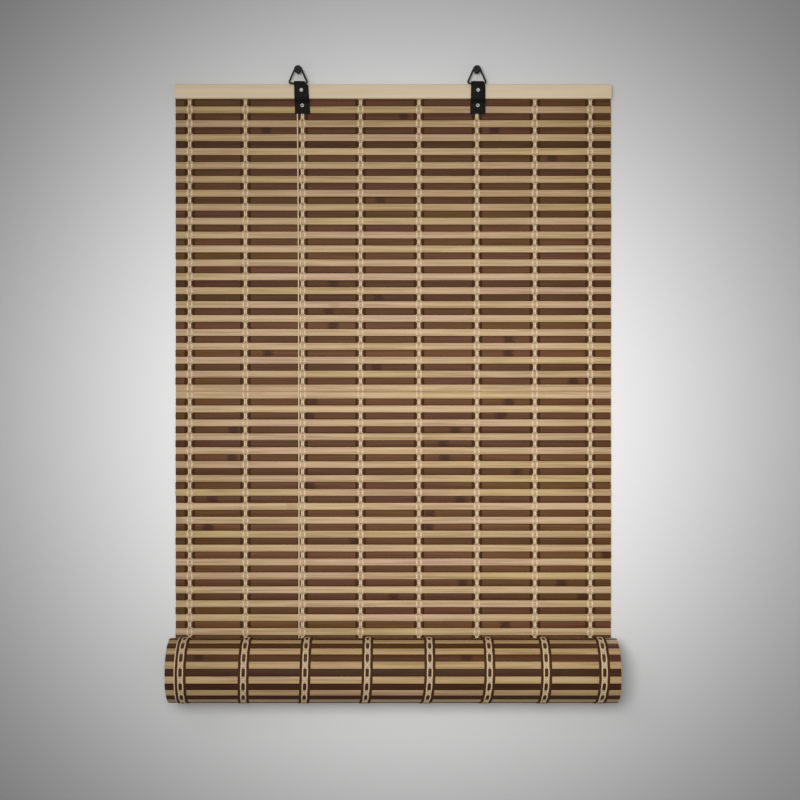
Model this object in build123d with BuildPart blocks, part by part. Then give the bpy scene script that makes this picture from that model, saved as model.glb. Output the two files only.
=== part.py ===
# Bamboo roll-up blind, half rolled up, hung by two strap rings on two wall pegs.
# Millimetres. The wall is the plane Y = 0, the viewer stands on the -Y side, and the
# origin is on the wall, midway between the pegs, on the line through their axes.
import math
import os

from build123d import *

# Clearances that several pieces share
seat_gap = 0.1
overrun = 1.0

# Slatted mat
mat_width = 600.0
mat_length = 1800.0
mat_offset = 7.8
wall_clearance = 1.2
slat_pitch = 9.58
slat_gap = 0.7
slat_thickness = 2.0
hanging_slats = 81
slats_behind_rail = 2
double_light_slat = 42

# Warp chains that bind the slats, placed across the mat from its left edge
chain_height = 0.8
chain_wide = 8.2
chain_narrow = 5.0
chain_roll_width = 7.0
warp_shares = (0.033, 0.161, 0.292, 0.425, 0.559, 0.692, 0.825, 0.952)
roll_warp_shares = (0.035, 0.173, 0.308, 0.444, 0.581, 0.712, 0.836, 0.963)

# Rolled-up lower end
roll_radius = 44.2
roll_core_radius = 21.9
groove_depth = 1.0
rod_radius = 8.0

# Head rail
rail_height = 19.8
rail_thickness = 5.0
rail_chamfer = 0.6
rail_drop = 0.3

# Wall pegs
peg_spacing = 245.0
shank_radius = 2.0
shank_length = 30.0
neck_radius = 3.2
neck_length = 14.4
head_radius = 5.4
head_height = 3.6
head_face_radius = 3.4

# Triangular wire rings
wire_radius = 1.15
ring_clearance = 0.2
ring_drop = 18.4
ring_apex_angle = 48.0
ring_corner_radius = 2.2
wire_sides = 8
apex_facets = 6
corner_facets = 3

# Leather straps, each a little to the right of its ring
left_strap_shift = 4.8
right_strap_shift = 1.7
strap_width = 19.5
strap_thickness = 1.6
strap_reach = 20.2
strap_tail = 8.0
bar_clearance = 0.3
loop_taper = 5.5
loop_facets = 8

# Strap rivets
rivet_radius = 1.0
rivet_fit = 0.05
rivet_head_radius = 2.85
rivet_head_height = 1.0
rivet_face_radius = 2.0
rivet_sides = 8
rivet_back_radius = 2.0
rivet_back_height = 0.5
upper_rivet_drop = 8.9
lower_rivet_drop = 8.7

# Lift cord on the mat's face, beside the third warp
cord_warp_share = warp_shares[2]
cord_radius = 0.6
cord_inset = 3.4
cord_lean_drop = 185.0
cord_sides = 6

# Depths in front of the wall, and heights
slat_back_depth = wall_clearance + chain_height
slat_front_depth = slat_back_depth + slat_thickness
slat_middle_depth = slat_back_depth + slat_thickness / 2
rail_front_depth = slat_front_depth + rail_thickness
strap_back_depth = rail_front_depth + seat_gap + strap_thickness / 2
strap_front_depth = strap_back_depth + strap_thickness + seat_gap
strap_low_depth = slat_front_depth + seat_gap + strap_thickness / 2
loop_radius = wire_radius + bar_clearance + strap_thickness / 2
bar_depth = strap_back_depth + loop_radius
bar_z = -ring_drop
rail_top_z = bar_z - rail_drop
rail_bottom_z = rail_top_z - rail_height
strap_bottom_z = rail_bottom_z - strap_reach
upper_rivet_z = rail_top_z - upper_rivet_drop
lower_rivet_z = rail_bottom_z - lower_rivet_drop
mat_left_x = mat_offset - mat_width / 2
slat_width = slat_pitch - slat_gap
peg_x = peg_spacing / 2
left_strap_x = left_strap_shift - peg_x
right_strap_x = right_strap_shift + peg_x
roll_depth = slat_middle_depth + roll_radius
roll_z = rail_bottom_z - hanging_slats * slat_pitch

# Angles of the bends
right_angle = 90
half_turn_angle = 180

os.makedirs("parts", exist_ok=True)


def save(part, name):
    part.label = name
    export_step(part, f"parts/{name}.step")


def is_dark(index):
    # Dark and light slats alternate, but for one place where two light ones lie together
    if index < double_light_slat:
        return index % 2 == 0
    return index > double_light_slat and index % 2 == 1


def slat_z(index):
    return rail_bottom_z - (index + 0.5) * slat_pitch


def warp_x(share):
    return mat_left_x + share * mat_width


# Two wall pegs, each a turned pin with a bevelled head and a shank that goes into the wall
with BuildPart() as wall_pegs:
    with BuildSketch():
        with BuildLine():
            Polyline(
                (-peg_x, -neck_length - head_height),
                (-peg_x, shank_length),
                (shank_radius - peg_x, shank_length),
                (shank_radius - peg_x, 0),
                (neck_radius - peg_x, 0),
                (neck_radius - peg_x, -neck_length),
                (head_radius - peg_x, -neck_length),
                (head_face_radius - peg_x, -neck_length - head_height),
                close=True,
            )
        make_face()
    revolve(axis=Axis((-peg_x, 0, 0), (0, 1, 0)))
    mirror(about=Plane.YZ)
save(wall_pegs.part, "wall_pegs")


def arc_points(centre, radius, start, sweep_angle, facets):
    # The ends of the chords that stand for a bend, from the start angle on
    angles = [math.radians(start + sweep_angle * i / facets) for i in range(facets + 1)]
    return [(centre[0] + radius * math.cos(a), centre[1] + radius * math.sin(a)) for a in angles]


# Two bent wire rings, the apex over the peg and the bar in the strap's loop
apex_radius = neck_radius + ring_clearance + wire_radius
half_apex = ring_apex_angle / 2
corner_turn = right_angle + half_apex
apex_turn = right_angle - half_apex
apex_z = apex_radius / math.sin(math.radians(half_apex))
corner_x = (apex_z - bar_z) * math.tan(math.radians(half_apex))
bar_half = corner_x - ring_corner_radius * math.tan(math.radians(corner_turn / 2))
corner_centre = (bar_half - peg_x, bar_z + ring_corner_radius)
with BuildPart() as hanging_rings:
    with BuildLine(Plane.XZ.offset(bar_depth)):
        Polyline(
            (-peg_x, bar_z),
            *arc_points(corner_centre, ring_corner_radius, -right_angle, corner_turn, corner_facets),
            *arc_points((-peg_x, 0), apex_radius, half_apex, apex_turn, apex_facets // 2),
        )
    with BuildSketch(Plane.YZ.offset(-peg_x)):
        with Locations((-bar_depth, bar_z)):
            RegularPolygon(wire_radius, wire_sides)
    sweep(transition=Transition.RIGHT)
    mirror(about=Plane.YZ.offset(-peg_x))
    mirror(about=Plane.YZ)
save(hanging_rings.part, "hanging_rings")


def make_strap(centre_x, ring_x):
    # A band looped over the ring's bar: the tail lies on the rail, the front runs down to the mat
    step_top_z = rail_bottom_z - seat_gap
    step_low_z = lower_rivet_z + rivet_head_radius + strap_thickness / 2
    tail_end = (-strap_back_depth, upper_rivet_z - strap_tail)
    through_depth = bar_depth + loop_radius + strap_thickness
    # The loop ends where the bar bends up into the ring's sides
    cut_low_z = bar_z - wire_radius - bar_clearance
    cut_height = bar_z + loop_radius + strap_thickness - cut_low_z
    cut_reach = bar_half - bar_clearance + strap_width / 2
    with BuildPart() as strap:
        with BuildLine(Plane.YZ.offset(centre_x)):
            Polyline(
                tail_end,
                *arc_points((-bar_depth, bar_z), loop_radius, 0, half_turn_angle, loop_facets),
                (-strap_front_depth, bar_z - loop_taper),
                (-strap_front_depth, step_top_z),
                (-strap_low_depth, step_low_z),
                (-strap_low_depth, strap_bottom_z),
            )
        with BuildSketch(Plane((centre_x, *tail_end), x_dir=(1, 0, 0), z_dir=(0, 0, 1))):
            Rectangle(strap_width, strap_thickness)
        sweep(transition=Transition.RIGHT)
        with BuildSketch(Plane.XZ):
            with Locations((centre_x, upper_rivet_z), (centre_x, lower_rivet_z)):
                RegularPolygon(rivet_radius + rivet_fit, rivet_sides)
            cut_z = cut_low_z + cut_height / 2
            with Locations((ring_x - cut_reach, cut_z), (ring_x + cut_reach, cut_z)):
                Rectangle(strap_width, cut_height)
        extrude(amount=through_depth, mode=Mode.SUBTRACT)
    return strap.part


save(make_strap(left_strap_x, -peg_x), "strap_left")
save(make_strap(right_strap_x, peg_x), "strap_right")


# Four strap rivets with a bevelled head in front and a flat clenched head behind the slats, the
# upper pair through strap, rail and slat, the lower pair through strap and slat
upper_rivets = [(left_strap_x, upper_rivet_z), (right_strap_x, upper_rivet_z)]
lower_rivets = [(left_strap_x, lower_rivet_z), (right_strap_x, lower_rivet_z)]
with BuildPart() as strap_rivets:
    for places, layer_depth in ((upper_rivets, strap_front_depth), (lower_rivets, strap_low_depth)):
        front_depth = layer_depth + strap_thickness / 2
        back_depth = slat_back_depth - rivet_back_height
        with BuildSketch(Plane.XZ.offset(back_depth)):
            with Locations(*places):
                RegularPolygon(rivet_back_radius, rivet_sides)
        extrude(amount=rivet_back_height)
        with BuildSketch(Plane.XZ.offset(slat_back_depth)):
            with Locations(*places):
                RegularPolygon(rivet_radius, rivet_sides)
        extrude(amount=front_depth - slat_back_depth)
        for place in places:
            with BuildSketch(Plane.XZ.offset(front_depth)):
                with Locations(place):
                    RegularPolygon(rivet_head_radius, rivet_sides)
            with BuildSketch(Plane.XZ.offset(front_depth + rivet_head_height)):
                with Locations(place):
                    RegularPolygon(rivet_face_radius, rivet_sides)
            loft()
save(strap_rivets.part, "strap_rivets")

# Head rail, a planed lath with eased edges
with BuildPart() as head_rail:
    with BuildSketch(Plane.YZ.offset(mat_left_x)):
        with Locations((-slat_front_depth - rail_thickness / 2, rail_top_z - rail_height / 2)):
            Rectangle(rail_thickness, rail_height)
    extrude(amount=mat_width)
    chamfer(head_rail.edges().filter_by(Axis.X), length=rail_chamfer)
    with BuildSketch(Plane.XZ):
        with Locations(*upper_rivets):
            RegularPolygon(rivet_radius + rivet_fit, rivet_sides)
    extrude(amount=rail_front_depth + overrun, mode=Mode.SUBTRACT)
save(head_rail.part, "head_rail")


def make_slats(dark):
    # All hanging slats of one tone, pierced where a rivet passes
    rows = [i for i in range(-slats_behind_rail, hanging_slats) if is_dark(i) == dark]
    with BuildPart() as slats:
        with BuildSketch(Plane.YZ.offset(mat_left_x)):
            with Locations(*[(-slat_middle_depth, slat_z(i)) for i in rows]):
                Rectangle(slat_thickness, slat_width)
        extrude(amount=mat_width)
        with BuildSketch(Plane.XZ):
            with Locations(*upper_rivets, *lower_rivets):
                RegularPolygon(rivet_radius + rivet_fit, rivet_sides)
        extrude(amount=slat_front_depth + overrun, mode=Mode.SUBTRACT)
    return slats.part


save(make_slats(dark=True), "dark_slats")
save(make_slats(dark=False), "light_slats")


def first_bound_slat(share):
    # A warp that passes under a strap shows from the first slat below that strap's end
    clear = (strap_width + chain_wide) / 2
    if min(abs(warp_x(share) - x) for x in (left_strap_x, right_strap_x)) > clear:
        return 0
    return math.ceil((rail_bottom_z - strap_bottom_z) / slat_pitch)


def make_warp(share):
    # A stitched chain on the mat's face: wide over light slats, drawn in over dark ones
    rows = range(first_bound_slat(share), hanging_slats)
    halves = [(chain_narrow if is_dark(i) else chain_wide) / 2 for i in rows]
    right = [(warp_x(share) + half, slat_z(i)) for i, half in zip(rows, halves)]
    left = [(warp_x(share) - half, slat_z(i)) for i, half in zip(rows, halves)]
    with BuildPart() as warp:
        with BuildSketch(Plane.XZ.offset(slat_front_depth)):
            with BuildLine():
                Polyline(*right, *reversed(left), close=True)
            make_face()
        extrude(amount=chain_height)
    return warp.part


for number, share in enumerate(warp_shares, start=1):
    save(make_warp(share), f"warp_{number}")

# Lift cord, from under the left strap, leaning to the third warp and then straight down beside it
cord_depth = slat_front_depth + cord_radius + seat_gap
cord_foot_x = warp_x(cord_warp_share) - chain_wide / 2 - cord_radius - seat_gap
cord_top_x = left_strap_x - strap_width / 2 + cord_inset
cord_top_z = strap_bottom_z - bar_clearance
with BuildPart() as lift_cord:
    with BuildLine(Plane.XZ.offset(cord_depth)) as cord_path:
        Polyline(
            (cord_top_x, cord_top_z),
            (cord_foot_x, cord_top_z - cord_lean_drop),
            (cord_foot_x, roll_z + slat_gap),
        )
    with BuildSketch(Plane(origin=cord_path.line @ 0, z_dir=cord_path.line % 0)):
        RegularPolygon(cord_radius, cord_sides)
    sweep(transition=Transition.RIGHT)
save(lift_cord.part, "lift_cord")

# Spiral of the rolled-up mat, seen from its left end: it starts at the back, at the height
# of the roll's axis, and winds down, forward and up, drawing in evenly from turn to turn until
# the rolled length is used up at the core
rolled_slats = round(mat_length / slat_pitch) - hanging_slats - slats_behind_rail
winding = (roll_radius**2 - roll_core_radius**2) / (2 * rolled_slats * slat_pitch)
turn_pitch = 2 * math.pi * winding


def spiral_point(length):
    turned = (roll_radius - math.sqrt(roll_radius**2 - 2 * winding * length)) / winding
    radius = roll_radius - winding * turned
    return Vector(radius * math.cos(turned) - roll_depth, roll_z - radius * math.sin(turned))


joints = [spiral_point(i * slat_pitch) for i in range(rolled_slats + 1)]
runs = [(after - before).normalized() for before, after in zip(joints, joints[1:])]
normals = [Vector(-run.Y, run.X) for run in runs]


def offset_spiral(distance, count):
    # The line that lies this far outside the first slats of the spiral, with mitred corners
    points = [joints[0] + normals[0] * distance]
    for i in range(1, count):
        lean = normals[i - 1] + normals[i]
        points.append(joints[i] + lean * (distance / (1 + normals[i - 1].dot(normals[i]))))
    points.append(joints[count] + normals[count - 1] * distance)
    return points


# The roll, all its turns one solid, with a groove between slat and slat on the outermost turn
outer_slats = int(2 * math.pi * (roll_radius - turn_pitch / 2) / slat_pitch)
with BuildPart() as roll:
    with BuildSketch(Plane.YZ.offset(mat_left_x)):
        with BuildLine():
            half = slat_thickness / 2
            outside = offset_spiral(half, rolled_slats)[outer_slats:]
            inside = offset_spiral(-half, rolled_slats)
            grooved = []
            for i in range(outer_slats):
                grooved.append(joints[i] + runs[i] * (slat_gap / 2) + normals[i] * half)
                grooved.append(joints[i + 1] - runs[i] * (slat_gap / 2) + normals[i] * half)
                grooved.append(joints[i + 1] + normals[i] * (half - groove_depth))
            Polyline(*grooved, *outside, *reversed(inside), close=True)
        make_face()
    extrude(amount=mat_width)
save(roll.part, "roll")


def make_roll_warp(share):
    # A warp chain round the outermost turn of the roll
    with BuildPart() as band:
        with BuildSketch(Plane.YZ.offset(warp_x(share) - chain_roll_width / 2)):
            with BuildLine():
                under = offset_spiral(slat_thickness / 2, outer_slats)
                over = offset_spiral(slat_thickness / 2 + chain_height, outer_slats)
                Polyline(*under, *reversed(over), close=True)
            make_face()
        extrude(amount=chain_roll_width)
    return band.part


for number, share in enumerate(roll_warp_shares, start=1):
    save(make_roll_warp(share), f"roll_warp_{number}")

# Bottom rod in the core of the roll, against the innermost slat
innermost = (joints[-1] + joints[-2]) / 2
rod_centre = innermost - normals[-1] * (slat_thickness / 2 + seat_gap + rod_radius)
with BuildPart() as bottom_rod:
    with BuildSketch(Plane.YZ.offset(mat_left_x)):
        with Locations((rod_centre.X, rod_centre.Y)):
            Circle(rod_radius)
    extrude(amount=mat_width)
save(bottom_rod.part, "bottom_rod")
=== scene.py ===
# Looks of a half rolled-up bamboo blind, built round its solids. Metres, in the solids' frame:
# +Z up, the wall at Y = 0, the viewer on the -Y side.
import math

import bpy
import numpy as np
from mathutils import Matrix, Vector


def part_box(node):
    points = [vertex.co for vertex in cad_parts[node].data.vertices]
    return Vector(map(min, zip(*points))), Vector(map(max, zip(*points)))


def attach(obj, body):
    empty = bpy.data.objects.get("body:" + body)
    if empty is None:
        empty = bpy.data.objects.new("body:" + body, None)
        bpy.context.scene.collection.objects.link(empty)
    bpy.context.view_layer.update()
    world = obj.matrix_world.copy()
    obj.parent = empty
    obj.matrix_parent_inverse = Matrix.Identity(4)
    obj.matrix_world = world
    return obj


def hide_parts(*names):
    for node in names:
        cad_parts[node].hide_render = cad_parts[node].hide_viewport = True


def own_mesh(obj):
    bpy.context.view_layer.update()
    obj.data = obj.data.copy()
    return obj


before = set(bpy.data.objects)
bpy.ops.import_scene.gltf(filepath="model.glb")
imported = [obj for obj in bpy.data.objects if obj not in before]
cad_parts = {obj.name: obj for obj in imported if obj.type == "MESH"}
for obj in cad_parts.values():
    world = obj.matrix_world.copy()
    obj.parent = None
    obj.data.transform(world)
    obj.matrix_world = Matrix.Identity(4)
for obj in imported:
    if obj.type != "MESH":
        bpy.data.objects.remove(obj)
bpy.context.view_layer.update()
rng = np.random.default_rng(27)

# Meshes: edges over so many degrees stay crisp, and turned pieces have so many sides
PLAIN_SHARP = 38
LATHE_SIDES = 24

# Mat: its rows are counted down from the rail's lower edge and on through the roll to its core
ROWS_BEHIND_RAIL = 2
HANGING_ROWS = 81
ROLLED_ROWS = 105
OUTER_ROWS = 28
DOUBLE_LIGHT_ROW = 42
STRAP_ROWS = 3
ROLL_RADIUS = 0.0442
CORE_RADIUS = 0.0219
ROLL_SLIP_ROWS = 0.06

# Slats: the solids keep a gap that the dressed slats nearly close
SOLID_SLAT_GAP = 0.0007
SLAT_GAP = 0.00002
SLAT_EASE = 0.00035
SLAT_CROWN = 0.00012
SLAT_BOW = 0.00003
SLAT_END_SCATTER = 0.0006
SLAT_END_SCALE = 0.88
SLAT_STATIONS = 9
# The top rows draw darker tones: painted shade under the rail and over the top of the mat
SHADED_TOP_ROWS = 20
SHADED_TOP_TONES = (0.2, 0.75)
HANGING_TONES = (0.45, 1.0)
ROLLED_TONES = (0.05, 0.45)

# Each slat's grain is cut from a place of its own along a long grain, and shifts sideways with it
GRAIN_SPAN = 50
GRAIN_SKEW = 0.01

# Smudged joints: places along X on the dark slats by row, at most two a slat, and the chance of one
# on a light slat. A slat without a joint has it far off its end.
DARK_JOINTS = {
    2: (0.022,), 4: (-0.167, 0.147), 8: (0.227,), 14: (-0.010,), 26: (-0.075,), 28: (-0.013,),
    30: (-0.081,), 32: (-0.075,), 34: (0.167,), 36: (-0.165, 0.166), 38: (-0.015,), 40: (0.256,),
    43: (-0.103, 0.167), 45: (-0.107, 0.156), 47: (-0.212, 0.093), 49: (0.077,), 51: (-0.214, 0.079),
    53: (0.178,), 55: (-0.106,), 57: (-0.241, 0.100), 59: (0.058,), 61: (-0.248, 0.056),
    63: (-0.046,), 65: (0.301,), 69: (0.104, 0.240), 71: (0.008, 0.268), 75: (0.162,),
    95: (0.223,), 97: (-0.248, 0.105),
}
NO_JOINT = 2.0
LIGHT_JOINT_CHANCE = 0.15
SMUDGE_REACH = (0.003, 0.0105)
SMUDGE_SCATTER = 0.014
SMUDGE_STRENGTH = 0.75
# How far in from a slat's long edge its darkening runs, from full to none
EDGE_DARK_INSET = (0.0003, 0.0017)

# Warp chains: two strands in front that open over the light slats, and a crossed chain behind
WARPS = range(1, 9)
YARN_HALF_WIDTH = 0.00102
SPREAD_HALF_WIDTH = 0.00135
BACK_HALF_WIDTH = 0.00092
YARN_HALF_DEPTH = 0.00048
YARN_SIDES = 8
YARN_SHARP = 80
TWIST_PITCH = 0.0032
PLY_SLANT = 0.35
FRONT_OPEN = 0.0029
FRONT_CLOSED = 0.00112
FRONT_STEPS = (0.0, 0.05, 0.1, 0.35, 0.65, 0.9, 0.95)
CLOSING_ROWS = 0.1
PINCH = 0.3
CHAIN_WANDER = 0.0002
SINK_ROWS = 0.2
SINK_DEPTH = 0.00018
BACK_OPEN = 0.0031
BACK_CLOSED = 0.0027
BACK_SHADE = 0.32
BACK_STEPS = 6
CROSSING_MARGIN = 0.02
CROSSING_REACH = 0.9
CROSSING_RISE = 0.6
DRIFT_ROWS = 15

# Brown yarns beside the chains, and one stray beige yarn on the roll
BEIGE_SLOT, BROWN_SLOT = 0, 1
BROWN_HALF_DEPTH = 0.00033
BROWN_SIDES = 6
WEAVING_OFFSETS = (0.0047, 0.0063)
WEAVING_HALF_WIDTH = 0.0008
WEAVING_STEPS = (0.0, 0.05, 0.12, 0.5, 0.88, 0.95)
BACKING_OFFSET = 0.0056
BACKING_HALF_WIDTH = 0.0016
BACKING_STEPS = 3
STRAY_WARP = 1
STRAY_OFFSET = 0.0078
STRAY_HALF_WIDTH = 0.000714
STRAY_FIRST_ROW = HANGING_ROWS + 9
STRAY_LAST_ROW = HANGING_ROWS + OUTER_ROWS - 1
STRAY_STEPS = 4

# Rail, rod and cord
RAIL_EASE = 0.0016
RAIL_EASE_STEPS = 4
RAIL_END_SCALE = 0.93
RAIL_STATIONS = 25
ROD_EASE = 0.0008
ROD_SIDES = 32
CORD_DIAMETER = 0.0019
CORD_INSET = 0.0006
CORD_BEND_DROP = 0.185
CORD_RESOLUTION = 60

# Pegs and rings: a peg's face runs from its rim in to its recess, as depths behind the face and radii
HEAD_RADIUS = 0.0054
HEAD_THICKNESS = 0.0036
HEAD_EASE = 0.0004
PEG_FACE = ((0.0014, HEAD_RADIUS), (0.0005, 0.0047), (0.0, 0.0035), (0.0, 0.0024),
            (0.0003, 0.0020), (0.0012, 0.0017), (0.0014, 0.0003))
NECK_RADIUS = 0.0032
SHANK_RADIUS = 0.002
POINT_LENGTH = 0.006
POINT_RADIUS = 0.0003
WIRE_RADIUS = 0.00128
SOLID_WIRE_RADIUS = 0.00115
WIRE_SIDES = 14
RING_CLEARANCE = 0.0002
RING_APEX_ANGLE = 48.0
RING_CORNER = 0.0022
RING_CORNER_STEPS = 9
RING_APEX_STEPS = 10
RING_BAR_STEPS = 5
RING_BAR_SHARE = 0.8

# Straps
STRAP_THICKNESS = 0.0016
STRAP_CLEARANCE = 0.0001
STRAP_EASE = 0.0005
STRAP_EASE_STEPS = 4
STRAP_LOOP_RADIUS = 0.00225
STRAP_LOOP_STEPS = 13
STRAP_TAIL_DROP = 0.0172
STRAP_TAPER_DROP = 0.0055
STRAP_TOP_WIDTH = 0.0192
STRAP_END_WIDTH = 0.0212
STRAP_END_RUN = 0.0024
STRAP_CORNER = 0.0008
STRAP_CORNER_SHARES = (1, 0.6, 0.3, 0.1, 0)
STRAP_ROUNDINGS = 2
STRAP_SHARP = 50
STRAP_RING_DROP = 0.0002
STRAP_RING_MARGIN = 0.0003
LEFT_STRAP_LEAN = 0.00085
RIGHT_STRAP_LEAN = 0.0

# Rivets: a dimpled head as heights above the strap and shares of the radius, from its rim in,
# and a clenched end as depths behind the slats and radii
RIVET_RADIUS = 0.0027
RIVET_HEAD = ((-0.0002, 0.97), (0.0002, 1.0), (0.0006, 0.94), (0.0009, 0.82),
              (0.0010, 0.68), (0.0009, 0.56), (0.0003, 0.38), (0.0001, 0.05))
RIVET_CLENCH = ((0.0, 0.0019), (0.0004, 0.0020), (0.0005, 0.0017), (0.0005, 0.0009),
                (0.0001, 0.0007), (0.0001, 0.0001))
CLENCH_SIDES = 16
UPPER_RIVET_DROP = 0.0089
LOWER_RIVET_DROP = 0.0087

# Wall, light and camera
WALL_HALF_WIDTH = 4.0
WALL_BRIGHT = (0.95, 0.95, 0.95)
WALL_DIM = (0.305, 0.305, 0.305)
# A pool of light painted on the wall behind the blind: WALL_BRIGHT at its middle, fading to WALL_DIM at its
# reach
LIGHT_POOL_SIDE = -0.03
LIGHT_POOL_RISE = 0.015
LIGHT_POOL_REACH = (0.1, 0.9)
WORLD_LIGHT = 0.25
WORLD_SHOWN = 0.6
LAMP_AIM = (0.0, 0.0, -0.45)
CAMERA_SIDE = 0.0093
CAMERA_HEIGHT = -0.4525
CAMERA_DISTANCE = 1.8
CAMERA_LENS = 58.8

# Places taken from the solids
mat_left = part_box("light_slats")[0].x
mat_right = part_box("light_slats")[1].x
mat_centre_x = (mat_left + mat_right) / 2
slat_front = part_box("light_slats")[0].y
slat_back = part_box("light_slats")[1].y
slat_thickness = slat_back - slat_front
mat_middle = (slat_front + slat_back) / 2
rail_low, rail_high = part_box("head_rail")
rail_bottom = rail_low.z
mat_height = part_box("dark_slats")[1].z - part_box("light_slats")[0].z
pitch = (mat_height + SOLID_SLAT_GAP) / (HANGING_ROWS + ROWS_BEHIND_RAIL)
roll_axis_y = mat_middle - ROLL_RADIUS
winding = (ROLL_RADIUS**2 - CORE_RADIUS**2) / (2 * ROLLED_ROWS * pitch)


# Mesh helpers

class Shape:
    """Points, faces and point values of one piece, gathered tube by tube."""

    def __init__(self):
        self.points = []
        self.faces = []
        self.materials = []
        self.values = {}
        self.count = 0

    def add_tube(self, rings, material=0, closed=False, **values):
        """Skins a stack of rings, an array of stations by ring points by three."""
        stations, sides, _ = rings.shape
        values = {name: np.broadcast_to(value, (stations, sides)) for name, value in values.items()}
        around = np.roll(rings, -1, axis=1) - rings
        outward = rings - rings.mean(axis=1, keepdims=True)
        ahead = np.gradient(rings, axis=0)
        if np.einsum("ijk,ijk", np.cross(around, ahead), outward) < 0:
            rings = rings[:, ::-1]
            values = {name: value[:, ::-1] for name, value in values.items()}
        index = self.count + np.arange(stations * sides).reshape(stations, sides)
        first = index if closed else index[:-1]
        after = np.roll(index, -1, axis=0) if closed else index[1:]
        quads = np.stack([first, np.roll(first, -1, 1), np.roll(after, -1, 1), after], axis=-1)
        faces = quads.reshape(-1, 4).tolist()
        if not closed:
            faces += [index[0, ::-1].tolist(), index[-1].tolist()]
        self.faces += faces
        self.materials += [material] * len(faces)
        self.points.append(rings.reshape(-1, 3))
        for name, value in values.items():
            self.values.setdefault(name, []).append(value.ravel())
        self.count += stations * sides

    def build(self, name, body, *materials, sharp=PLAIN_SHARP):
        """Makes the piece, with edges over the sharp angle in degrees kept crisp."""
        mesh = bpy.data.meshes.new(name)
        mesh.from_pydata(np.concatenate(self.points).tolist(), [], self.faces)
        for material in materials:
            mesh.materials.append(material)
        mesh.polygons.foreach_set("material_index", self.materials)
        for key, parts in self.values.items():
            attribute = mesh.attributes.new(key, "FLOAT", "POINT")
            attribute.data.foreach_set("value", np.concatenate(parts).astype(np.float32))
        mesh.shade_smooth()
        mesh.set_sharp_from_angle(angle=math.radians(sharp))
        piece = bpy.data.objects.new(name, mesh)
        bpy.context.scene.collection.objects.link(piece)
        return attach(piece, body)


def smooth(t):
    t = np.clip(t, 0, 1)
    return t * t * (3 - 2 * t)


def unit(vectors):
    return vectors / np.linalg.norm(vectors, axis=-1, keepdims=True)


def circle_angles(sides):
    return 2 * math.pi * np.arange(sides) / sides


def arc(centre, radius, start, end, steps):
    angle = np.radians(np.linspace(start, end, steps))
    return np.stack([centre[0] + radius * np.cos(angle), centre[1] + radius * np.sin(angle)], axis=-1)


def rounded_outline(width, depth, radius, crown=0.0, steps=3):
    """A rectangle with round corners and crowned long faces, as points of width and depth."""
    points = []
    for corner, (side, face) in enumerate(((1, 1), (-1, 1), (-1, -1), (1, -1))):
        for step in range(steps):
            angle = math.pi / 2 * (corner + step / (steps - 1))
            points.append((side * (width / 2 - radius) + radius * math.cos(angle),
                           face * (depth / 2 - radius) + radius * math.sin(angle)))
        if corner in (0, 2):
            points.append((0, face * (depth / 2 + crown)))
    return np.array(points)


def eased_stations(left, right, ease, count, end_scale):
    """Places along a bar, and the scale of its section there, which is smaller at both ends."""
    x = np.concatenate([[left], np.linspace(left + ease, right - ease, count), [right]])
    scale = np.ones(len(x))
    scale[[0, -1]] = end_scale
    return x, scale


def add_lathe(shape, centre, profile, sides=LATHE_SIDES):
    """Turns a profile of depths and radii about an axis along Y through a place in X and Z."""
    angle = circle_angles(sides)
    rings = [[(centre[0] + r * c, y, centre[1] + r * s) for c, s in zip(np.cos(angle), np.sin(angle))]
             for y, r in profile]
    shape.add_tube(np.array(rings))


def add_strand(shape, points, half_width, half_depth, sides=YARN_SIDES, slot=BEIGE_SLOT, shade=0.0):
    """A yarn of oval section along a path that runs mainly across X."""
    ahead = unit(np.gradient(points, axis=0))
    across = unit(np.array([1.0, 0, 0]) - ahead[:, :1] * ahead)
    proud = np.cross(ahead, across)
    angle = circle_angles(sides)
    half_width = np.broadcast_to(half_width, len(points))[:, None, None]
    rings = (points[:, None] + half_width * np.cos(angle)[None, :, None] * across[:, None]
             + half_depth * np.sin(angle)[None, :, None] * proud[:, None])
    run = np.concatenate([[0], np.cumsum(np.linalg.norm(np.diff(points, axis=0), axis=1))])
    twist = run[:, None] / TWIST_PITCH + PLY_SLANT * np.cos(angle)
    shape.add_tube(rings, slot, twist=twist, shade=np.broadcast_to(shade, len(points))[:, None])


# Where the mat runs

def is_dark(row):
    if row < DOUBLE_LIGHT_ROW:
        return row % 2 == 0
    return row > DOUBLE_LIGHT_ROW and row % 2 == 1


def mat_line(rows):
    """The mat's middle line in Y and Z, and its front direction, at row coordinates."""
    rows = np.asarray(rows, float)
    rolled = np.where(rows < HANGING_ROWS, 0, rows - HANGING_ROWS + ROLL_SLIP_ROWS) * pitch
    radius = np.sqrt(ROLL_RADIUS**2 - 2 * winding * rolled)
    turned = (ROLL_RADIUS - radius) / winding
    hanging_z = rail_bottom - np.minimum(rows, HANGING_ROWS) * pitch
    line = np.stack([roll_axis_y + radius * np.cos(turned), hanging_z - radius * np.sin(turned)], -1)
    return line, np.stack([-np.cos(turned), np.sin(turned)], -1)


def mat_points(rows, x, proud):
    """Points at row coordinates, so far along X and so far in front of the mat's middle."""
    line, front = mat_line(rows)
    flat = line + front * np.asarray(proud)[..., None]
    return np.stack([np.broadcast_to(x, flat.shape[:1]), flat[:, 0], flat[:, 1]], axis=-1)


# Materials

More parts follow.
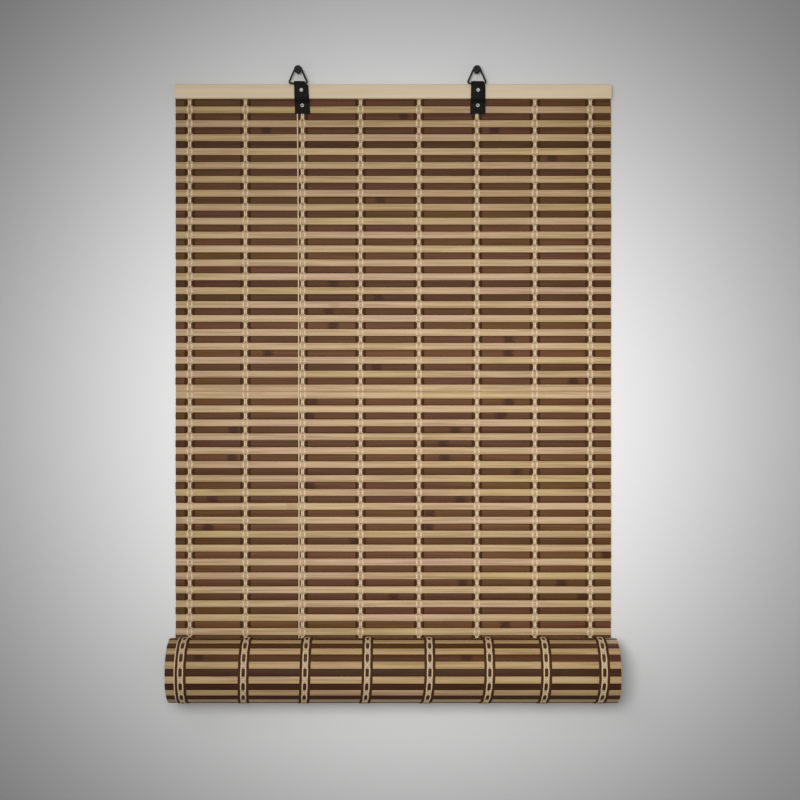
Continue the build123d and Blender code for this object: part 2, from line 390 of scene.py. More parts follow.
class Finish:
    """A Principled material with short ways to add nodes."""

    def __init__(self, name, roughness, metallic=0.0, specular=0.5):
        self.material = bpy.data.materials.new(name)
        self.material.use_nodes = True
        self.tree = self.material.node_tree
        self.shader = self.tree.nodes["Principled BSDF"]
        self.shader.inputs["Roughness"].default_value = roughness
        self.shader.inputs["Metallic"].default_value = metallic
        self.shader.inputs["Specular IOR Level"].default_value = specular

    def set_input(self, socket, value):
        if isinstance(value, bpy.types.NodeSocket):
            self.tree.links.new(value, socket)
        else:
            socket.default_value = value

    def node(self, kind, inputs=(), **settings):
        node = self.tree.nodes.new(kind)
        for key, value in settings.items():
            setattr(node, key, value)
        for key, value in dict(inputs).items():
            self.set_input(node.inputs[key], value)
        return node

    def value(self, name):
        return self.node("ShaderNodeAttribute", attribute_name=name).outputs["Fac"]

    def math(self, operation, *terms):
        return self.node("ShaderNodeMath", dict(enumerate(terms)), operation=operation).outputs[0]

    def vector(self, x, y, z):
        return self.node("ShaderNodeCombineXYZ", {"X": x, "Y": y, "Z": z}).outputs[0]

    def stretch(self, vector, factors):
        inputs = {0: vector, 1: factors}
        return self.node("ShaderNodeVectorMath", inputs, operation="MULTIPLY").outputs[0]

    def place(self, along, across):
        """The point's own place in the frame, stretched along X and across it."""
        place = self.node("ShaderNodeTexCoord").outputs["Object"]
        return self.stretch(place, (along, across, across))

    def noise(self, vector, detail=3.0, roughness=0.55):
        inputs = {"Vector": vector, "Scale": 1.0, "Detail": detail, "Roughness": roughness}
        return self.node("ShaderNodeTexNoise", inputs).outputs[0]

    def map(self, value, low, high, to_low=0.0, to_high=1.0):
        inputs = {0: value, 1: low, 2: high, 3: to_low, 4: to_high}
        return self.node("ShaderNodeMapRange", inputs, interpolation_type="SMOOTHSTEP").outputs[0]

    def mix(self, factor, low, high, blend="MIX"):
        node = self.node("ShaderNodeMix", data_type="RGBA", blend_type=blend)
        self.set_input(node.inputs[0], factor)
        for socket, color in ((node.inputs[6], low), (node.inputs[7], high)):
            self.set_input(socket, (*color, 1.0) if isinstance(color, tuple) else color)
        return node.outputs[2]

    def color(self, socket):
        self.tree.links.new(socket, self.shader.inputs["Base Color"])

    def rough(self, socket):
        self.tree.links.new(socket, self.shader.inputs["Roughness"])

    def bump(self, height, distance, strength):
        inputs = {"Height": height, "Distance": distance, "Strength": strength}
        self.tree.links.new(self.node("ShaderNodeBump", inputs).outputs[0], self.shader.inputs["Normal"])


def bamboo(name, deep, pale, mark, tints, edge_darkening, roughness):
    """Split bamboo: tone by slat, slow changes of tint, long fibres, and the smudges of its joints.

    Its textures repeat so often per metre along, across and into the slat.
    """
    finish = Finish(name, roughness, specular=0.1)
    grain = finish.vector(finish.value("along"), finish.value("across"), finish.value("proud"))
    fibres = finish.noise(finish.stretch(grain, (8.0, 480.0, 480.0)), detail=4.0, roughness=0.6)
    clouds = finish.noise(finish.stretch(grain, (9.0, 60.0, 0.0)), detail=2.0)
    slow = finish.noise(finish.stretch(grain, (2.5, 0.0, 0.0)), detail=1.0)
    ragged = finish.noise(finish.stretch(grain, (160.0, 420.0, 0.0)))
    fibre_shade = finish.map(fibres, 0.44, 0.62, to_high=0.75)
    cloud_shade = finish.map(clouds, 0.35, 0.75, to_high=0.6)
    # Each slat is darker along its long edges, the more so the nearer the edge
    edge_darkness = finish.map(finish.value("inset"), *EDGE_DARK_INSET, to_low=1.0, to_high=0.0)
    base = finish.mix(finish.value("tone"), deep, pale)
    base = finish.mix(1.0, base, finish.mix(finish.map(slow, 0.3, 0.7), *tints), "MULTIPLY")
    base = finish.mix(fibre_shade, base, (0.66, 0.61, 0.56), "MULTIPLY")
    base = finish.mix(cloud_shade, base, (0.80, 0.76, 0.72), "MULTIPLY")
    base = finish.mix(edge_darkness, base, edge_darkening, "MULTIPLY")
    scatter = finish.math("MULTIPLY", finish.math("SUBTRACT", ragged, 0.5), SMUDGE_SCATTER)
    for joint in ("joint_a", "joint_b"):
        reach = finish.math("ADD", finish.math("ABSOLUTE", finish.value(joint)), scatter)
        smudge = finish.map(reach, *SMUDGE_REACH, to_low=SMUDGE_STRENGTH, to_high=0.0)
        base = finish.mix(smudge, base, mark)
    finish.color(base)
    finish.bump(fibres, distance=0.00012, strength=0.5)
    return finish.material


def yarn(name, pale, deep):
    """Two-ply yarn: slanting plies with painted shade in their grooves, a little fuzz, and painted shade
    where it sinks between slats.
    """
    finish = Finish(name, roughness=0.85, specular=0.08)
    ply = finish.math("SINE", finish.math("MULTIPLY", finish.value("twist"), 2 * math.pi))
    fuzz = finish.noise(finish.place(1500.0, 1500.0))
    groove_shade_and_fuzz = finish.math("MULTIPLY_ADD", fuzz, 1.2, ply)
    # The plies are painted darker toward their grooves, a painted shade, with fuzz mixed in
    base = finish.mix(finish.map(groove_shade_and_fuzz, -0.7, 0.9), deep, pale)
    # Painted shade: darker by the shade value where a front strand sinks between slats; the back chains
    # take it evenly
    finish.color(finish.mix(finish.value("shade"), base, (0.55, 0.50, 0.44), "MULTIPLY"))
    finish.bump(finish.math("MULTIPLY_ADD", fuzz, 0.5, ply), distance=0.0002, strength=0.7)
    return finish.material


def planed_wood(name, pale, deep):
    """Planed softwood: broad growth lines and fine pores along X."""
    finish = Finish(name, roughness=0.55, specular=0.25)
    broad = finish.noise(finish.place(5.0, 120.0))
    fine = finish.noise(finish.place(16.0, 1400.0), detail=2.0)
    grain = finish.math("MULTIPLY_ADD", fine, 0.45, broad)
    finish.color(finish.mix(finish.map(grain, 0.5, 1.0), deep, pale))
    finish.bump(grain, distance=0.0001, strength=0.35)
    return finish.material


def leather(name, pale, deep):
    """Leather: fine cells and shallow creases."""
    finish = Finish(name, roughness=0.58, specular=0.09)
    inputs = {"Vector": finish.place(1.0, 1.0), "Scale": 1400.0}
    cells = finish.node("ShaderNodeTexVoronoi", inputs).outputs["Distance"]
    creases = finish.noise(finish.place(260.0, 260.0))
    finish.color(finish.mix(finish.map(creases, 0.35, 0.75), deep, pale))
    finish.bump(finish.math("MULTIPLY_ADD", creases, 0.5, cells), distance=0.0002, strength=0.5)
    return finish.material


def metal(name, pale, deep, roughness, metallic, specular, scale):
    """Painted or bare metal with patches of wear, so many per metre."""
    finish = Finish(name, roughness, metallic, specular)
    wear = finish.noise(finish.place(scale, scale))
    finish.color(finish.mix(finish.map(wear, 0.4, 0.7), deep, pale))
    finish.rough(finish.map(wear, 0.3, 0.8, roughness * 0.8, roughness * 1.3))
    finish.bump(wear, distance=0.00005, strength=0.3)
    return finish.material


dark_bamboo = bamboo(
    "dark_bamboo", deep=(0.044, 0.0155, 0.0060), pale=(0.153, 0.067, 0.0276), mark=(0.040, 0.0115, 0.0050),
    tints=((1.03, 0.92, 1.20), (1.00, 1.09, 0.76)), edge_darkening=(0.62, 0.60, 0.44), roughness=0.55)
light_bamboo = bamboo(
    "light_bamboo", deep=(0.455, 0.315, 0.155), pale=(0.605, 0.440, 0.268), mark=(0.420, 0.280, 0.150),
    tints=((1.01, 0.965, 1.10), (1.00, 1.015, 0.88)), edge_darkening=(0.88, 0.86, 0.78), roughness=0.5)
beige_yarn = yarn("beige_yarn", pale=(0.850, 0.665, 0.455), deep=(0.455, 0.320, 0.192))
brown_yarn = yarn("brown_yarn", pale=(0.071, 0.0275, 0.0085), deep=(0.037, 0.0140, 0.0045))
pale_wood = planed_wood("pale_wood", pale=(0.735, 0.600, 0.422), deep=(0.670, 0.533, 0.360))
black_leather = leather("black_leather", pale=(0.0075, 0.0068, 0.0056), deep=(0.0032, 0.0029, 0.0024))
black_metal = metal("black_metal", pale=(0.007, 0.007, 0.007), deep=(0.003, 0.003, 0.003),
                    roughness=0.4, metallic=0.0, specular=0.2, scale=900.0)
rivet_metal = metal("rivet_metal", pale=(0.480, 0.480, 0.460), deep=(0.350, 0.350, 0.330),
                    roughness=0.4, metallic=0.7, specular=0.5, scale=1600.0)


# Slats

def slat_tones(row):
    # Darker tones for the top rows, as painted shade
    if row < SHADED_TOP_ROWS:
        return SHADED_TOP_TONES
    return HANGING_TONES if row < HANGING_ROWS else ROLLED_TONES


def add_slat(shape, row):
    """One slat across the mat, a little uneven in width, length and tone, and slightly bowed."""
    ends, _ = mat_line([row, row + 1])
    middle = ends.mean(axis=0)
    across = unit(ends[1] - ends[0])
    front = np.array([across[1], -across[0]])
    width = pitch - SLAT_GAP - rng.uniform(0, SLAT_GAP)
    outline = rounded_outline(width, slat_thickness, SLAT_EASE, SLAT_CROWN)
    left = mat_left + rng.uniform(0, SLAT_END_SCATTER)
    right = mat_right - rng.uniform(0, SLAT_END_SCATTER)
    x, scale = eased_stations(left, right, SLAT_EASE, SLAT_STATIONS, SLAT_END_SCALE)
    bow = np.sin(math.pi * (x - left) / (right - left)) * SLAT_BOW
    along_row = outline[:, 0] * scale[:, None] + (bow * rng.uniform(-1, 1))[:, None]
    proud = outline[:, 1] * scale[:, None] + (bow * rng.uniform(-1, 1))[:, None]
    flat = middle + along_row[..., None] * across + proud[..., None] * front
    rings = np.concatenate([np.broadcast_to(x[:, None, None], (*proud.shape, 1)), flat], axis=-1)
    grain_start = rng.uniform(0, GRAIN_SPAN)
    joints = (*DARK_JOINTS.get(row, ()), NO_JOINT, NO_JOINT)
    if not is_dark(row) and rng.uniform() < LIGHT_JOINT_CHANCE:
        joints = (rng.uniform(mat_left, mat_right), NO_JOINT)
    shape.add_tube(
        rings,
        along=(x + grain_start)[:, None],
        across=along_row + grain_start * GRAIN_SKEW,
        proud=proud,
        inset=width / 2 - np.abs(outline[:, 0]),
        tone=rng.uniform(*slat_tones(row)),
        joint_a=(x - joints[0])[:, None],
        joint_b=(x - joints[1])[:, None],
    )


def make_slats(name, rows, body, node):
    """The dark and the light slats of some rows, as two pieces."""
    pieces = []
    for tone, material in (("dark", dark_bamboo), ("light", light_bamboo)):
        shape = Shape()
        for row in rows:
            if is_dark(row) == (tone == "dark"):
                add_slat(shape, row)
        piece = shape.build(f"{tone}_{name}", body, material)
        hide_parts(node.format(tone))
        pieces.append(piece)
    return pieces


def squash_to_rail(piece):
    """Gives the piece a mesh of its own."""
    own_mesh(piece)


make_slats("head_slats", range(-ROWS_BEHIND_RAIL, STRAP_ROWS), "blind", "{}_slats")
for hanging in make_slats("hanging_slats", range(STRAP_ROWS, HANGING_ROWS), "blind", "{}_slats"):
    squash_to_rail(hanging)
make_slats("rolled_slats", range(HANGING_ROWS, HANGING_ROWS + ROLLED_ROWS), "roll", "roll")


# Warp yarns

chain_wander = rng.uniform(-1, 1, HANGING_ROWS + 1) * CHAIN_WANDER


def row_steps(first, last, steps):
    """Row coordinates with so many even steps to a row."""
    return np.linspace(first, last, round((last - first) * steps) + 1)


def row_samples(first, last, shares):
    """Row coordinates at the same shares of every row."""
    rows = (np.arange(math.floor(first), last)[:, None] + shares).ravel()
    return np.concatenate([[first], rows[rows > first], [last]])


def open_share(rows, open_over_dark):
    """How far a chain's link is open: 1 over one tone of slats, drawn in over the other."""
    index = np.floor(rows).astype(int)
    t = rows - index
    opened = np.vectorize(lambda row: float(is_dark(row) == open_over_dark))
    edge = np.maximum(opened(index - 1) * (1 - smooth(t / CLOSING_ROWS)),
                      opened(index + 1) * (1 - smooth((1 - t) / CLOSING_ROWS)))
    return np.where(opened(index) > 0.5, 1 - PINCH * edge, edge)


def add_front_chain(shape, x, first, last):
    """Two strands, open over the light slats and side by side over the dark ones."""
    rows = row_samples(first, last, FRONT_STEPS)
    opened = open_share(rows, open_over_dark=False)
    half = FRONT_CLOSED + (FRONT_OPEN - FRONT_CLOSED) * opened
    half_width = YARN_HALF_WIDTH + (SPREAD_HALF_WIDTH - YARN_HALF_WIDTH) * opened
    wander = np.interp(rows, np.arange(HANGING_ROWS + 1), chain_wander)
    # How far a strand sinks between slats, which also sets its painted shade
    sunk = 1 - smooth(np.minimum(rows % 1, 1 - rows % 1) / SINK_ROWS)
    proud = slat_thickness / 2 + YARN_HALF_DEPTH - SINK_DEPTH * sunk
    for side in (-1, 1):
        points = mat_points(rows, x + wander + side * half, proud)
        add_strand(shape, points, half_width, YARN_HALF_DEPTH, shade=sunk)


def add_back_chain(shape, x_at, first, last):
    """Two outer strands, and a crossed pair that fills the link over each light slat.

    x_at gives the warp's place along X at row coordinates.
    """
    rows = row_steps(first, last, BACK_STEPS)
    half = BACK_CLOSED + (BACK_OPEN - BACK_CLOSED) * open_share(rows, open_over_dark=True)
    proud = -slat_thickness / 2 - YARN_HALF_DEPTH
    for side in (-1, 1):
        points = mat_points(rows, x_at(rows) + side * half, proud)
        add_strand(shape, points, BACK_HALF_WIDTH, YARN_HALF_DEPTH, shade=BACK_SHADE)
    for row in range(first, last):
        if not is_dark(row):
            span = np.linspace(row + CROSSING_MARGIN, row + 1 - CROSSING_MARGIN, BACK_STEPS)
            swing = np.cos(math.pi * (span - row)) * BACK_CLOSED * CROSSING_REACH
            rise = np.sin(math.pi * (span - row)) * YARN_HALF_DEPTH * CROSSING_RISE
            for side in (-1, 1):
                points = mat_points(span, x_at(span) + side * swing, proud - rise)
                add_strand(shape, points, BACK_HALF_WIDTH, YARN_HALF_DEPTH, shade=BACK_SHADE)


def add_weaving_yarns(shape, x, first, last):
    """Thin brown yarns woven in front of the dark slats and behind the light ones."""
    rows = row_samples(first, last, WEAVING_STEPS)
    index = np.floor(rows).astype(int)
    height = slat_thickness / 2 + BROWN_HALF_DEPTH
    face = np.vectorize(lambda row: 1.0 if is_dark(row) else -1.0)
    here, before = face(index), face(index - 1)
    proud = height * np.where(rows == index, (here + before) / 2, here)
    for side in (-1, 1):
        for offset in WEAVING_OFFSETS:
            points = mat_points(rows, x + side * offset, proud)
            add_strand(shape, points, WEAVING_HALF_WIDTH, BROWN_HALF_DEPTH, BROWN_SIDES, BROWN_SLOT)


def add_backing_yarns(shape, x_at, first, last):
    """Broad brown yarns that run down the back on both sides of the chain."""
    rows = row_steps(first, last, BACKING_STEPS)
    proud = -slat_thickness / 2 - BROWN_HALF_DEPTH
    for side in (-1, 1):
        points = mat_points(rows, x_at(rows) + side * BACKING_OFFSET, proud)
        add_strand(shape, points, BACKING_HALF_WIDTH, BROWN_HALF_DEPTH, BROWN_SIDES, BROWN_SLOT)


def add_stray_yarn(shape, x_at):
    """A loose beige yarn that lies round the roll beside its first warp."""
    rows = row_steps(STRAY_FIRST_ROW, STRAY_LAST_ROW, STRAY_STEPS)
    proud = -slat_thickness / 2 - YARN_HALF_DEPTH
    points = mat_points(rows, x_at(rows) - STRAY_OFFSET, proud)
    add_strand(shape, points, STRAY_HALF_WIDTH, YARN_HALF_DEPTH)


def add_warp(shape, x, first, first_front, last):
    """All yarns of a hanging warp over some rows, with the front chain from a row of its own."""
    def straight(rows):
        return x

    add_front_chain(shape, x, first_front, last)
    add_back_chain(shape, straight, first, last)
    add_weaving_yarns(shape, x, max(first, 0), last)
    add_backing_yarns(shape, straight, first, last)


def middle_x(node):
    low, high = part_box(node)
    return (low.x + high.x) / 2


def make_warp(number, heads):
    """One warp's yarns: the part behind the rail and straps, added to the shared head yarns, and the part
    below them as a piece of its own.
    """
    node = f"warp_{number}"
    x = middle_x(node)
    # A strap covers the top of some warps, and their front chains start where it ends
    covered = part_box(node)[1].z < rail_bottom - pitch
    first_front = (rail_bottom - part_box("strap_left")[0].z) / pitch if covered else 0
    add_warp(heads, x, -ROWS_BEHIND_RAIL, first_front, STRAP_ROWS)
    shape = Shape()
    add_warp(shape, x, STRAP_ROWS, STRAP_ROWS, HANGING_ROWS)
    piece = shape.build(f"warp_yarns_{number}", "blind", beige_yarn, brown_yarn, sharp=YARN_SHARP)
    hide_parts(node)
    squash_to_rail(piece)


def make_roll_warp(number):
    """One warp's yarns on the roll's outermost turn, drifting sideways as the mat was rolled."""
    start_x, end_x = middle_x(f"warp_{number}"), middle_x(f"roll_warp_{number}")

    def drift(rows):
        return start_x + (end_x - start_x) * smooth((rows - HANGING_ROWS) / DRIFT_ROWS)

    shape = Shape()
    add_back_chain(shape, drift, HANGING_ROWS, HANGING_ROWS + OUTER_ROWS)
    add_backing_yarns(shape, drift, HANGING_ROWS, HANGING_ROWS + OUTER_ROWS)
    if number == STRAY_WARP:
        add_stray_yarn(shape, drift)
    piece = shape.build(f"rolled_yarns_{number}", "roll", beige_yarn, brown_yarn, sharp=YARN_SHARP)
    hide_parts(f"roll_warp_{number}")


head_yarns = Shape()
for number in WARPS:
    make_warp(number, head_yarns)
    make_roll_warp(number)
head_piece = head_yarns.build("warp_yarn_heads", "blind", beige_yarn, brown_yarn, sharp=YARN_SHARP)
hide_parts(*[f"warp_{number}" for number in WARPS])


# Head rail and bottom rod

def make_rail():
    size = rail_high - rail_low
    middle = (rail_high + rail_low) / 2
    outline = rounded_outline(size.z, size.y, RAIL_EASE, steps=RAIL_EASE_STEPS)
    x, scale = eased_stations(rail_low.x, rail_high.x, RAIL_EASE, RAIL_STATIONS, RAIL_END_SCALE)
    z = middle.z + outline[:, 0] * scale[:, None]
    y = middle.y + outline[:, 1] * scale[:, None]
    shape = Shape()
    shape.add_tube(np.stack([np.broadcast_to(x[:, None], y.shape), y, z], axis=-1))
    piece = shape.build("head_rail_wood", "blind", pale_wood)
    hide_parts("head_rail")


def make_rod():
    low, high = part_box("bottom_rod")
    middle = (low + high) / 2
    radius = (high.z - low.z) / 2
    stations = ((low.x, radius - ROD_EASE), (low.x + ROD_EASE, radius),
                (high.x - ROD_EASE, radius), (high.x, radius - ROD_EASE))
    rings = [[(x, middle.y + r * math.cos(angle), middle.z + r * math.sin(angle))
              for angle in circle_angles(ROD_SIDES)] for x, r in stations]
    shape = Shape()
    shape.add_tube(np.array(rings))
    piece = shape.build("bottom_rod_wood", "roll", pale_wood)
    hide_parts("bottom_rod")


make_rail()
make_rod()


# Pegs, rings, straps and rivets

peg_low, peg_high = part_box("wall_pegs")
ring_low, ring_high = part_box("hanging_rings")
peg_x = peg_high.x - HEAD_RADIUS
bar_y = (ring_low.y + ring_high.y) / 2
bar_z = ring_low.z + SOLID_WIRE_RADIUS
half_apex = RING_APEX_ANGLE / 2
apex_radius = NECK_RADIUS + RING_CLEARANCE + SOLID_WIRE_RADIUS
apex_z = apex_radius / math.sin(math.radians(half_apex))
ring_corner_x = (apex_z - bar_z) * math.tan(math.radians(half_apex))
bar_half = ring_corner_x - RING_CORNER * math.tan(math.radians(45 + half_apex / 2))
upper_rivet_z = rail_high.z - UPPER_RIVET_DROP
lower_rivet_z = rail_bottom - LOWER_RIVET_DROP
strap_back_y = bar_y + STRAP_LOOP_RADIUS
strap_front_y = strap_back_y - STRAP_THICKNESS - STRAP_CLEARANCE
strap_low_y = slat_front - STRAP_CLEARANCE - STRAP_THICKNESS / 2


def make_pegs():
    face, wall_end = peg_low.y, peg_high.y
    head_back = face + HEAD_THICKNESS
    shank = ((wall_end, POINT_RADIUS), (wall_end - POINT_LENGTH, SHANK_RADIUS), (0, SHANK_RADIUS),
             (0, NECK_RADIUS), (head_back, NECK_RADIUS))
    rim = ((head_back, HEAD_RADIUS - HEAD_EASE), (head_back - HEAD_EASE, HEAD_RADIUS))
    front = [(face + depth, radius) for depth, radius in PEG_FACE]
    shape = Shape()
    for x in (-peg_x, peg_x):
        add_lathe(shape, (x, 0), (*shank, *rim, *front))
    piece = shape.build("wall_peg_pins", "hanger", black_metal)
    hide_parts("wall_pegs")


def ring_line():
    """The wire's middle line about its own peg, in X and Z, once round."""
    right = np.concatenate([
        arc((bar_half, bar_z + RING_CORNER), RING_CORNER, -90, half_apex, RING_CORNER_STEPS),
        arc((0, 0), apex_radius, half_apex, 90, RING_APEX_STEPS),
    ])
    left = right[-2::-1] * (-1, 1)
    bar_reach = bar_half * RING_BAR_SHARE
    bar = np.linspace((-bar_reach, bar_z), (bar_reach, bar_z), RING_BAR_STEPS)
    return np.concatenate([bar, right, left])


def make_rings():
    line = ring_line()
    ahead = unit(np.roll(line, -1, axis=0) - np.roll(line, 1, axis=0))
    out = np.stack([ahead[:, 1], -ahead[:, 0]], axis=-1)
    angle = circle_angles(WIRE_SIDES)
    shape = Shape()
    for centre_x in (-peg_x, peg_x):
        flat = line[:, None] + WIRE_RADIUS * np.cos(angle)[None, :, None] * out[:, None]
        depth = np.broadcast_to(bar_y + WIRE_RADIUS * np.sin(angle), flat.shape[:2])
        rings = np.stack([centre_x + flat[..., 0], depth, flat[..., 1]], axis=-1)
        shape.add_tube(rings, closed=True)
    piece = shape.build("ring_wires", "hanger", black_metal)
    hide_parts("hanging_rings")


def cut_corners(points, times):
    """Rounds a line by cutting its corners, with its ends kept."""
    for _ in range(times):
        quarter = points[:-1] * 0.75 + points[1:] * 0.25
        three_quarter = points[:-1] * 0.25 + points[1:] * 0.75
        inner = np.stack([quarter, three_quarter], axis=1).reshape(-1, points.shape[1])
        points = np.concatenate([points[:1], inner[1:-1], points[-1:]])
    return points


def strap_line(low_z):
    """A strap's middle line in Y and Z: up its short tail, over the ring's bar and down the front."""
    line = cut_corners(np.concatenate([
        [(strap_back_y, bar_z - STRAP_TAIL_DROP)],
        arc((bar_y, bar_z), STRAP_LOOP_RADIUS, 0, 180, STRAP_LOOP_STEPS),
        [(strap_front_y, bar_z - STRAP_TAPER_DROP),
         (strap_front_y, rail_bottom - STRAP_CLEARANCE),
         (strap_low_y, lower_rivet_z + RIVET_RADIUS + STRAP_THICKNESS / 2),
         (strap_low_y, low_z + STRAP_END_RUN)],
    ]), STRAP_ROUNDINGS)
    end = [(strap_low_y, low_z + STRAP_CORNER * share) for share in STRAP_CORNER_SHARES]
    return np.concatenate([line, end])


def strap_lean(z, low_z, lean):
    """Sideways lean of a strap that doesn't hang quite straight."""
    return lean * (2 * (bar_z - z) / (bar_z - low_z) - 1)


def strap_edges(line, centre_x, low_z, ring_x, lean):
    """A strap's left and right edges along its line: round at the end, and cut in inside the ring."""
    y, z = line.T
    half = np.interp(z, (low_z, bar_z), (STRAP_END_WIDTH, STRAP_TOP_WIDTH)) / 2
    end = np.where(y > strap_front_y, STRAP_CORNER - np.minimum(z - low_z, STRAP_CORNER), 0)
    half -= STRAP_CORNER - np.sqrt(STRAP_CORNER**2 - end**2)
    middle = centre_x + strap_lean(z, low_z, lean)
    in_ring = z > bar_z - WIRE_RADIUS - STRAP_RING_DROP
    reach = bar_half - STRAP_RING_MARGIN
    left = np.where(in_ring, np.maximum(middle - half, ring_x - reach), middle - half)
    right = np.where(in_ring, np.minimum(middle + half, ring_x + reach), middle + half)
    return left, right


def make_strap(node, ring_x, lean):
    low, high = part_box(node)
    centre_x = (low.x + high.x) / 2
    line = strap_line(low.z)
    ahead = unit(np.gradient(line, axis=0))
    proud = np.stack([ahead[:, 1], -ahead[:, 0]], axis=-1)
    left, right = strap_edges(line, centre_x, low.z, ring_x, lean)
    # The section is drawn one metre wide, and its two rounded sides are then set to the edges
    outline = rounded_outline(1.0, STRAP_THICKNESS, STRAP_EASE, steps=STRAP_EASE_STEPS)
    side = np.sign(outline[:, 0])
    rounding = side * np.maximum(0, np.abs(outline[:, 0]) - 0.5 + STRAP_EASE)
    x = ((left + right) / 2)[:, None] + side * ((right - left) / 2 - STRAP_EASE)[:, None] + rounding
    flat = line[:, None] + outline[None, :, 1, None] * proud[:, None]
    shape = Shape()
    shape.add_tube(np.concatenate([x[..., None], flat], axis=-1))
    piece = shape.build(f"{node}_leather", "blind", black_leather, sharp=STRAP_SHARP)
    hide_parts(node)
    return centre_x, low.z


def make_rivets(straps):
    shape = Shape()
    clench = [(slat_back + depth, radius) for depth, radius in RIVET_CLENCH]
    for (centre_x, low_z), lean in straps:
        for z, layer_y in ((upper_rivet_z, strap_front_y), (lower_rivet_z, strap_low_y)):
            face = layer_y - STRAP_THICKNESS / 2
            head = [(face - height, RIVET_RADIUS * share) for height, share in RIVET_HEAD]
            x = centre_x + strap_lean(z, low_z, lean)
            add_lathe(shape, (x, z), head)
            add_lathe(shape, (x, z), clench, CLENCH_SIDES)
    piece = shape.build("strap_rivet_heads", "blind", rivet_metal)
    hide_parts("strap_rivets")


make_pegs()
make_rings()
left_strap = make_strap("strap_left", -peg_x, LEFT_STRAP_LEAN)
right_strap = make_strap("strap_right", peg_x, RIGHT_STRAP_LEAN)
make_rivets(((left_strap, LEFT_STRAP_LEAN), (right_strap, RIGHT_STRAP_LEAN)))


# Lift cord

def cord_points(route):
    """Points along a smooth curve that follows a route."""
    curve = bpy.data.curves.new("lift_cord_route", "CURVE")
    curve.dimensions = "3D"
    spline = curve.splines.new("NURBS")
    spline.points.add(len(route) - 1)
    for point, place in zip(spline.points, route):
        point.co = (*place, 1)
    spline.order_u = 3
    spline.use_endpoint_u = True
    spline.resolution_u = CORD_RESOLUTION
    guide = bpy.data.objects.new("lift_cord_guide", curve)
    bpy.context.scene.collection.objects.link(guide)
    line = bpy.data.meshes.new_from_object(guide)
    points = np.array([v.co for v in line.vertices])
    bpy.data.objects.remove(guide)
    return points


def make_cord():
    low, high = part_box("lift_cord")
    depth = slat_front - YARN_HALF_DEPTH * 2 - CORD_DIAMETER / 4
    route = ((low.x + CORD_INSET, depth, high.z), (high.x - CORD_INSET, depth, high.z - CORD_BEND_DROP),
             (high.x - CORD_INSET, depth, low.z))
    points = cord_points(route)
    shape = Shape()
    add_strand(shape, points, CORD_DIAMETER / 2, CORD_DIAMETER / 2)
    piece = shape.build("lift_cord_yarn", "blind", beige_yarn, sharp=YARN_SHARP)
    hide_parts("lift_cord")
    squash_to_rail(piece)


make_cord()


# Wall, light and camera

def make_wall():
    """A wall with a pool of light painted on it behind the blind, shown from its front to camera and glossy
    rays.
    """
    half = WALL_HALF_WIDTH
    mesh = bpy.data.meshes.new("wall")
    corners = ((-half, 0, -half), (half, 0, -half), (half, 0, half), (-half, 0, half))
    mesh.from_pydata(corners, [], [(0, 1, 2, 3)])
    wall = bpy.data.objects.new("wall", mesh)
    bpy.context.scene.collection.objects.link(wall)
    finish = Finish("wall_paint", roughness=0.9)
    centre = (mat_centre_x + LIGHT_POOL_SIDE, 0.0, CAMERA_HEIGHT + LIGHT_POOL_RISE)
    place = finish.node("ShaderNodeTexCoord").outputs["Object"]
    away = finish.node("ShaderNodeVectorMath", {0: place, 1: centre}, operation="DISTANCE").outputs[1]
    # Painted light: the wall's colour is brightest near the blind and dims away from it
    finish.color(finish.mix(finish.map(away, *LIGHT_POOL_REACH), WALL_BRIGHT, WALL_DIM))
    path = finish.node("ShaderNodeLightPath").outputs
    seen = finish.math("MAXIMUM", path["Is Camera Ray"], path["Is Glossy Ray"])
    behind = finish.node("ShaderNodeNewGeometry").outputs["Backfacing"]
    shown = finish.math("MULTIPLY", seen, finish.math("SUBTRACT", 1.0, behind))
    clear = finish.node("ShaderNodeBsdfTransparent").outputs[0]
    mixed = finish.node("ShaderNodeMixShader", {0: shown, 1: clear, 2: finish.shader.outputs[0]})
    finish.tree.links.new(mixed.outputs[0], finish.tree.nodes["Material Output"].inputs["Surface"])
    mesh.materials.append(finish.material)


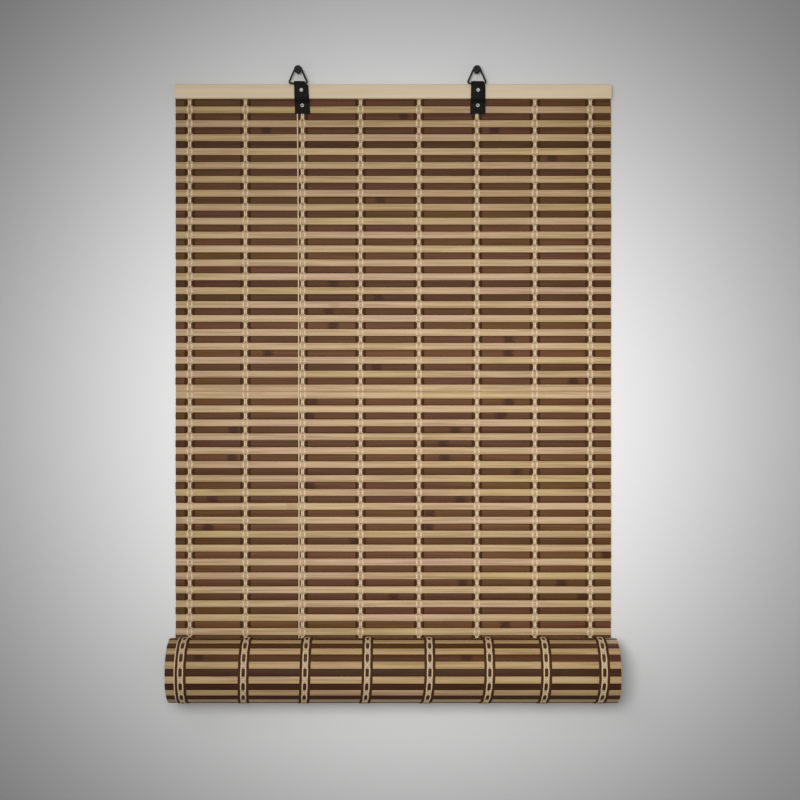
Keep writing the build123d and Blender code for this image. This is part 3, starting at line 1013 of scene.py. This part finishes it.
def make_area_light(name, place, aim, size, power, spread=180):
    """A square lamp of some watts, with its spread in degrees."""
    lamp = bpy.data.lights.new(name, "AREA")
    lamp.size = size
    lamp.energy = power
    lamp.spread = math.radians(spread)
    light = bpy.data.objects.new(name, lamp)
    bpy.context.scene.collection.objects.link(light)
    light.location = place
    light.rotation_euler = (Vector(aim) - light.location).to_track_quat("-Z", "Y").to_euler()
    light.visible_camera = False


def make_world():
    """Even white light, and a paler backdrop for what looks past the wall."""
    world = bpy.data.worlds.new("studio")
    world.use_nodes = True
    nodes, links = world.node_tree.nodes, world.node_tree.links
    path = nodes.new("ShaderNodeLightPath").outputs
    seen = nodes.new("ShaderNodeMath")
    seen.operation = "MAXIMUM"
    links.new(path["Is Camera Ray"], seen.inputs[0])
    links.new(path["Is Glossy Ray"], seen.inputs[1])
    level = nodes.new("ShaderNodeMapRange")
    level.inputs["To Min"].default_value = WORLD_LIGHT
    level.inputs["To Max"].default_value = WORLD_SHOWN
    links.new(seen.outputs[0], level.inputs["Value"])
    background = nodes["Background"]
    background.inputs["Color"].default_value = (1.0, 1.0, 1.0, 1.0)
    links.new(level.outputs[0], background.inputs["Strength"])
    bpy.context.scene.world = world


def make_camera():
    lens = bpy.data.cameras.new("camera")
    lens.lens = CAMERA_LENS
    camera = bpy.data.objects.new("camera", lens)
    bpy.context.scene.collection.objects.link(camera)
    camera.location = (mat_centre_x + CAMERA_SIDE, mat_middle - CAMERA_DISTANCE, CAMERA_HEIGHT)
    camera.rotation_euler = (math.pi / 2, 0, 0)
    bpy.context.scene.camera = camera


make_camera()
make_wall()
make_world()
make_area_light("key", place=(-0.15, -1.75, -0.28), aim=(0.21, 0.0, -0.61), size=0.6, power=4.65, spread=75)
make_area_light("side_fill", place=(-1.4, -2.6, 0.90), aim=LAMP_AIM, size=1.2, power=9.0)
make_area_light("back_fill", place=(0.6, 2.2, 0.4), aim=LAMP_AIM, size=2.0, power=48.0)
bpy.context.scene.view_settings.view_transform = "Standard"
